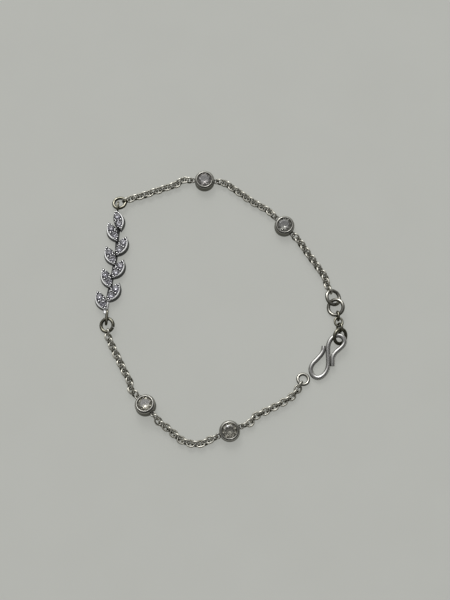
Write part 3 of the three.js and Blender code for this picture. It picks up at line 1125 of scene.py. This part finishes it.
def leaf_body():
    """A skin over the sections, which stand closer together towards the tips."""
    points = []
    for k in range(LEAF_STEPS + 1):
        x = -LEAF_LENGTH / 2 * math.cos(math.pi * k / LEAF_STEPS)
        points.extend([Vector((x, y, z)) for y, z in leaf_section(x)])
    around = len(points) // (LEAF_STEPS + 1)
    return points, skin(LEAF_STEPS + 1, around, closed=False)


def leaf_matrix(number):
    """Midway between the leaf's two stones, pointing from b to a, with its edge by turns on
    the right and the left."""
    near_tip = box_middle(f"leaf_stone_{number}a")
    near_foot = box_middle(f"leaf_stone_{number}b")
    middle = (near_tip + near_foot) / 2
    along = near_tip - near_foot
    side = 1 if number % 2 == 0 else -1
    turn = turned(math.degrees(math.atan2(along.y, along.x)))
    return Matrix.Translation((middle.x, middle.y, 0)) @ turn @ Matrix.Diagonal((1, side, 1, 1))


print("points of a leaf's skin:", len(leaf_body()[0]))

# %% [markdown]
# ## Prongs
#
# A prong is a short round post with a rounded head that bears on the edge of a stone. Larger
# ones stand at the tips and between the two stones, and smaller ones along the sides. They
# rise from just under the bottom of the channel, so that no gap shows at their feet.

# %% Leaves: prongs
PRONG_SIDES, HEAD_STEPS = 12, 5
POST_SHARE, HEAD_SHARE, HEAD_BASE = 0.8, 0.5, 0.08
PRONG_SINK = 0.05
AXIS = 0.004

# along the leaf, sideways, radius
PRONGS = [
    (2.2, 0.0, 0.24), (1.8, 0.5, 0.18), (1.8, -0.46, 0.18), (0.0, 0.0, 0.14),
    (0.0, 0.62, 0.24), (0.0, -0.62, 0.24), (0.42, -0.86, 0.16), (-0.42, -0.86, 0.16),
    (-1.8, 0.5, 0.18), (-1.8, -0.46, 0.18), (-2.2, 0.0, 0.24),
]


def prong(x, y, radius):
    bottom = -CHANNEL_DEPTH - PRONG_SINK
    profile = [(AXIS, bottom), (POST_SHARE * radius, bottom), (POST_SHARE * radius, 0)]
    for k in range(HEAD_STEPS + 1):
        angle = math.pi / 2 * (k / HEAD_STEPS)
        height = HEAD_BASE + HEAD_SHARE * radius * math.sin(angle)
        profile.append((max(AXIS, radius * math.cos(angle)), height))
    return placed(lathe(profile, PRONG_SIDES), Matrix.Translation((x, y, LEAF_HEIGHT)))


def leaf_shape():
    return joined([leaf_body(), *[prong(*row) for row in PRONGS]])


print("prongs on a leaf:", len(PRONGS))

# %% [markdown]
# ## Stem, tail and eyelets
#
# The leaves are soldered to a stem that winds between them. At its foot the stem goes on as
# a tail that widens and ends in an eyelet, and another eyelet stands at the top. Eyelets are
# bent from wire, so they use the chain's link shape. They stand nearly upright, as loops do
# that hang in a flat ring, and they are of the duller metal, so they are a piece of their own.

# %% The bar
STEM_ROUTE = [
    (-26.7, 24.3), (-26.1, 21.5), (-26.3, 17.2), (-26.4, 13.4),
    (-26.9, 9.6), (-27.5, 5.6), (-28.2, 1.6),
]
STEM_LEVEL, STEM_STEPS, STEM_SECTION = 0.42, 8, (0.9, 0.8)
BOX_CORNER = 0.6

# the tail's top, how far it goes from there, its width at the top and at its widest
TAIL_TOP, TAIL_WAY = (-27.95, 1.4, 0.87), (-0.7, -4.0, 0.2)
TAIL_WIDTH, TAIL_WIDENING, TAIL_HEIGHT, TAIL_STEPS = 0.75, 0.5, 0.8, 12
TAIL_END_FROM, TAIL_END_LOSS = 0.85, 0.35

EYELET_WIRE, EYELET_RADIUS = 0.58, 0.82
# middle, heading, tilt, and by how much half its length is stretched
EYELETS = [((-26.4, 25.5, 1.1), 86, 80, 0.42), ((-28.25, -3.5, 1.1), 88, 76, 1.0)]


def rounded_box(width, height):
    a, b = width / 2, height / 2
    cut_a, cut_b = a * BOX_CORNER, b * BOX_CORNER
    corners = [
        (-a, -cut_b), (-cut_a, -b), (cut_a, -b), (a, -cut_b),
        (a, cut_b), (cut_a, b), (-cut_a, b), (-a, cut_b),
    ]
    return rounded(corners)


def stem_shape():
    path = curve_through([Vector((x, y, STEM_LEVEL)) for x, y in STEM_ROUTE], STEM_STEPS)
    return sweep(path, rounded_box(*STEM_SECTION))


def tail_shape():
    path, sections = [], []
    for k in range(TAIL_STEPS + 1):
        share = k / TAIL_STEPS
        path.append(Vector([at + way * share for at, way in zip(TAIL_TOP, TAIL_WAY)]))
        narrowing = max(0.0, share - TAIL_END_FROM) / (1 - TAIL_END_FROM)
        width = (TAIL_WIDTH + TAIL_WIDENING * share) * (1 - TAIL_END_LOSS * narrowing)
        sections.append(rounded_box(width, TAIL_HEIGHT))
    return sweep(path, sections)


def eyelet_shape(middle, heading, tilt, stretch):
    loop = {
        "half_length": EYELET_RADIUS + stretch,
        "half_width": EYELET_RADIUS,
        "wire": EYELET_WIRE,
        "thickness": EYELET_WIRE,
    }
    upright = Matrix.Rotation(-math.radians(tilt), 4, "X")
    return placed(link_shape(loop), Matrix.Translation(middle) @ turned(heading) @ upright)


leaves = [placed(leaf_shape(), leaf_matrix(number + 1)) for number in range(LEAF_COUNT)]
bar = joined([stem_shape(), tail_shape(), *leaves])
make_piece("leaf_bar_metal", bar, silvers["leaf"], ["leaf_bar"])
eyelets = joined([eyelet_shape(*row) for row in EYELETS])
make_piece("leaf_bar_eyelets", eyelets, silvers["dull"], ["leaf_bar"])
print("leaf bar points:", len(bar[0]), "lowest:", round(lowest(bar), 3))

# %% [markdown]
# ## Stones in the leaves
#
# The same cut serves the small stones. Each is turned by its own random angle, because nobody
# lines up facets in stones this small, and leans by up to twelve degrees, so that no two of
# them flash at once. Each lies where its node is, with its edge just above the leaf.

# %% Stones in the leaves
LEAF_CUT = {"radius": 0.85, "crown": 0.3, "pavilion": 0.8, "table": 0.62}
STONE_RISE = 0.02
LARGEST_LEAN = 12

for number in range(1, LEAF_COUNT + 1):
    for letter in ("a", "b"):
        node = f"leaf_stone_{number}{letter}"
        middle = box_middle(node)
        lean = tipped(dice.uniform(0, LARGEST_LEAN), dice.uniform(0, 360))
        turn = Matrix.Rotation(dice.uniform(0, math.pi / 4), 4, "Z")
        place = Matrix.Translation((middle.x, middle.y, LEAF_HEIGHT + STONE_RISE))
        stone = placed(brilliant(**LEAF_CUT), place @ lean @ turn)
        name = f"small_brilliant_{number}{letter}"
        make_piece(name, stone, leaf_stone, [node], FACET_CREASE)
print("stones in leaves:", 2 * LEAF_COUNT)

# %% [markdown]
# ## Floor
#
# Polished silver is a mirror for what it lies on, so the floor matters as much as the metal:
# half of what each wire shows is the floor beside it. A plain pale card with a barely visible
# mottle is enough. It is a wide disc, so that no edge shows in the reflections. Part of its
# light is a painted glow of its own, which makes the shadows on it very faint.

# %% Floor
FLOOR_RADIUS = 3.0
FLOOR_CORNERS = 64
CARD_TONES = ((0.2265, 0.2295, 0.214, 1), (0.238, 0.2415, 0.226, 1))
# strength of the card's painted glow, which fades every shadow on it
CARD_PAINTED_GLOW = 1.46
MOTTLE_SCALE, MOTTLE_DETAIL = 60.0, 5.0


def card_finish():
    material, tree, shader = new_material("pale_card")
    shader["Roughness"].default_value = 0.9
    shader["Specular IOR Level"].default_value = 0.1
    shader["Emission Strength"].default_value = CARD_PAINTED_GLOW
    tones = tree.nodes.new("ShaderNodeValToRGB")
    for element, tone in zip(tones.color_ramp.elements, CARD_TONES):
        element.color = tone
    tree.links.new(noise_node(tree, MOTTLE_SCALE, MOTTLE_DETAIL), tones.inputs["Fac"])
    tree.links.new(tones.outputs["Color"], shader["Base Color"])
    tree.links.new(tones.outputs["Color"], shader["Emission Color"])
    return material


def make_floor(radius):
    """A level disc, with its radius in metres."""
    mesh = bpy.data.meshes.new("floor")
    rim = [towards(360 * k / FLOOR_CORNERS) * radius for k in range(FLOOR_CORNERS)]
    mesh.from_pydata(rim, [], [tuple(range(FLOOR_CORNERS))])
    mesh.materials.append(card_finish())
    floor = bpy.data.objects.new("floor", mesh)
    bpy.context.scene.collection.objects.link(floor)


make_floor(FLOOR_RADIUS)
print("floor radius in metres:", FLOOR_RADIUS)

# %% [markdown]
# ## Light
#
# One soft lamp stands at the back and gives the bright line along every wire. The world round
# about is a dim sky, darker on the near right side, and that draws a dark edge along the other
# flank of the wire: without something dark to reflect, polished metal looks like grey plastic.
# Two things in it are bright. A broad glow like a window is at the back, where the lamp is,
# and pale walls run round the horizon, so that the metal keeps its shine from the side.

# %% Lamp
KEY_HEADING, KEY_HEIGHT = 103, 42
KEY_DISTANCE, KEY_SIZE, KEY_POWER = 1.0, 0.34, 1.6


def make_lamp(name, heading, height, distance, size, power):
    """A round lamp turned to the middle, with its distance and size in metres."""
    data = bpy.data.lights.new(name, "AREA")
    data.shape = "DISK"
    data.size = size
    data.energy = power
    lamp = bpy.data.objects.new(name, data)
    rise = math.radians(height)
    lamp.location = towards(heading) * distance * math.cos(rise) + UP * distance * math.sin(rise)
    lamp.rotation_euler = (-lamp.location).to_track_quat("-Z", "Y").to_euler()
    bpy.context.scene.collection.objects.link(lamp)


make_lamp("soft_lamp", KEY_HEADING, KEY_HEIGHT, KEY_DISTANCE, KEY_SIZE, KEY_POWER)
print("lamp power:", KEY_POWER)

# %% Surroundings
GLOW_HEIGHT = 39
# how far from the middle of the glow it begins and is full, in degrees
GLOW_EDGE, GLOW_CORE = 46, 14
DARK_HEADING = 300
# where the sky, the dark side and the walls begin and end, as cosines
SKY_SPAN, DARK_SPAN, WALL_SPAN = (0.1, 0.9), (-0.3, 0.6), (0.03, 0.25)


def make_surroundings(overhead, level, gloom, glow, horizon, seen):
    """A dim room. overhead and level are its greys up there and low down, gloom is the dark
    side's share of them, glow is the window's brightness, horizon the brightness of the walls,
    and seen the colour that the camera sees in place of all that."""
    world = bpy.data.worlds.new("room")
    bpy.context.scene.world = world
    world.use_nodes = True
    tree = world.node_tree
    direction = tree.nodes.new("ShaderNodeTexCoord")

    def facing(axis, start, end, low, high):
        dot = tree.nodes.new("ShaderNodeVectorMath")
        dot.operation = "DOT_PRODUCT"
        dot.inputs[1].default_value = axis
        tree.links.new(direction.outputs["Generated"], dot.inputs[0])
        return mask_between(tree, dot.outputs["Value"], start, end, low, high)

    sky = facing(UP, *SKY_SPAN, level, overhead)
    side = facing(towards(DARK_HEADING), *DARK_SPAN, 1.0, gloom)
    walls = facing(UP, *WALL_SPAN, horizon, 0.0)
    rise = math.radians(GLOW_HEIGHT)
    window = towards(KEY_HEADING) * math.cos(rise) + UP * math.sin(rise)
    edge, core = [math.cos(math.radians(angle)) for angle in (GLOW_EDGE, GLOW_CORE)]
    halo = facing(window, edge, core, 0.0, glow)
    grey = math_node(tree, "MULTIPLY", sky, side)
    grey = math_node(tree, "ADD", grey, walls)
    grey = math_node(tree, "ADD", grey, halo)
    path = tree.nodes.new("ShaderNodeLightPath")
    colour = mix_colours(tree, path.outputs["Is Camera Ray"], grey, (*seen, 1))
    tree.links.new(colour, tree.nodes["Background"].inputs["Color"])


make_surroundings(
    overhead=0.2,
    level=0.1,
    gloom=0.35,
    glow=1.3,
    horizon=0.5,
    seen=(0.45, 0.46, 0.43),
)
bpy.context.scene.view_settings.view_transform = "Standard"
print("glow at a height of", GLOW_HEIGHT, "degrees")

# %% [markdown]
# ## Camera
#
# The bracelet is seen from almost straight above, leaning 15 degrees towards the near side,
# from a hand's length away. At that distance perspective matters: a cup at the far side shows
# more of its wall than one at the near side. So the camera stands at the true distance and
# the lens gives the field of view.

# %% Camera
CAMERA_TARGET = Vector((1.05, 1.23, 0))
CAMERA_DISTANCE, CAMERA_LEAN = 225, 15

camera_data = bpy.data.cameras.new("camera")
camera_data.lens = 54
camera_data.sensor_width = 36
camera_data.clip_start = 0.01
camera = bpy.data.objects.new("camera", camera_data)
lean = math.radians(CAMERA_LEAN)
away = Vector((0, -math.sin(lean), math.cos(lean)))
camera.location = (CAMERA_TARGET + away * CAMERA_DISTANCE) * MM
camera.rotation_euler = (lean, 0, 0)
bpy.context.scene.collection.objects.link(camera)
bpy.context.scene.camera = camera
print("camera at:", [round(v, 4) for v in camera.location])
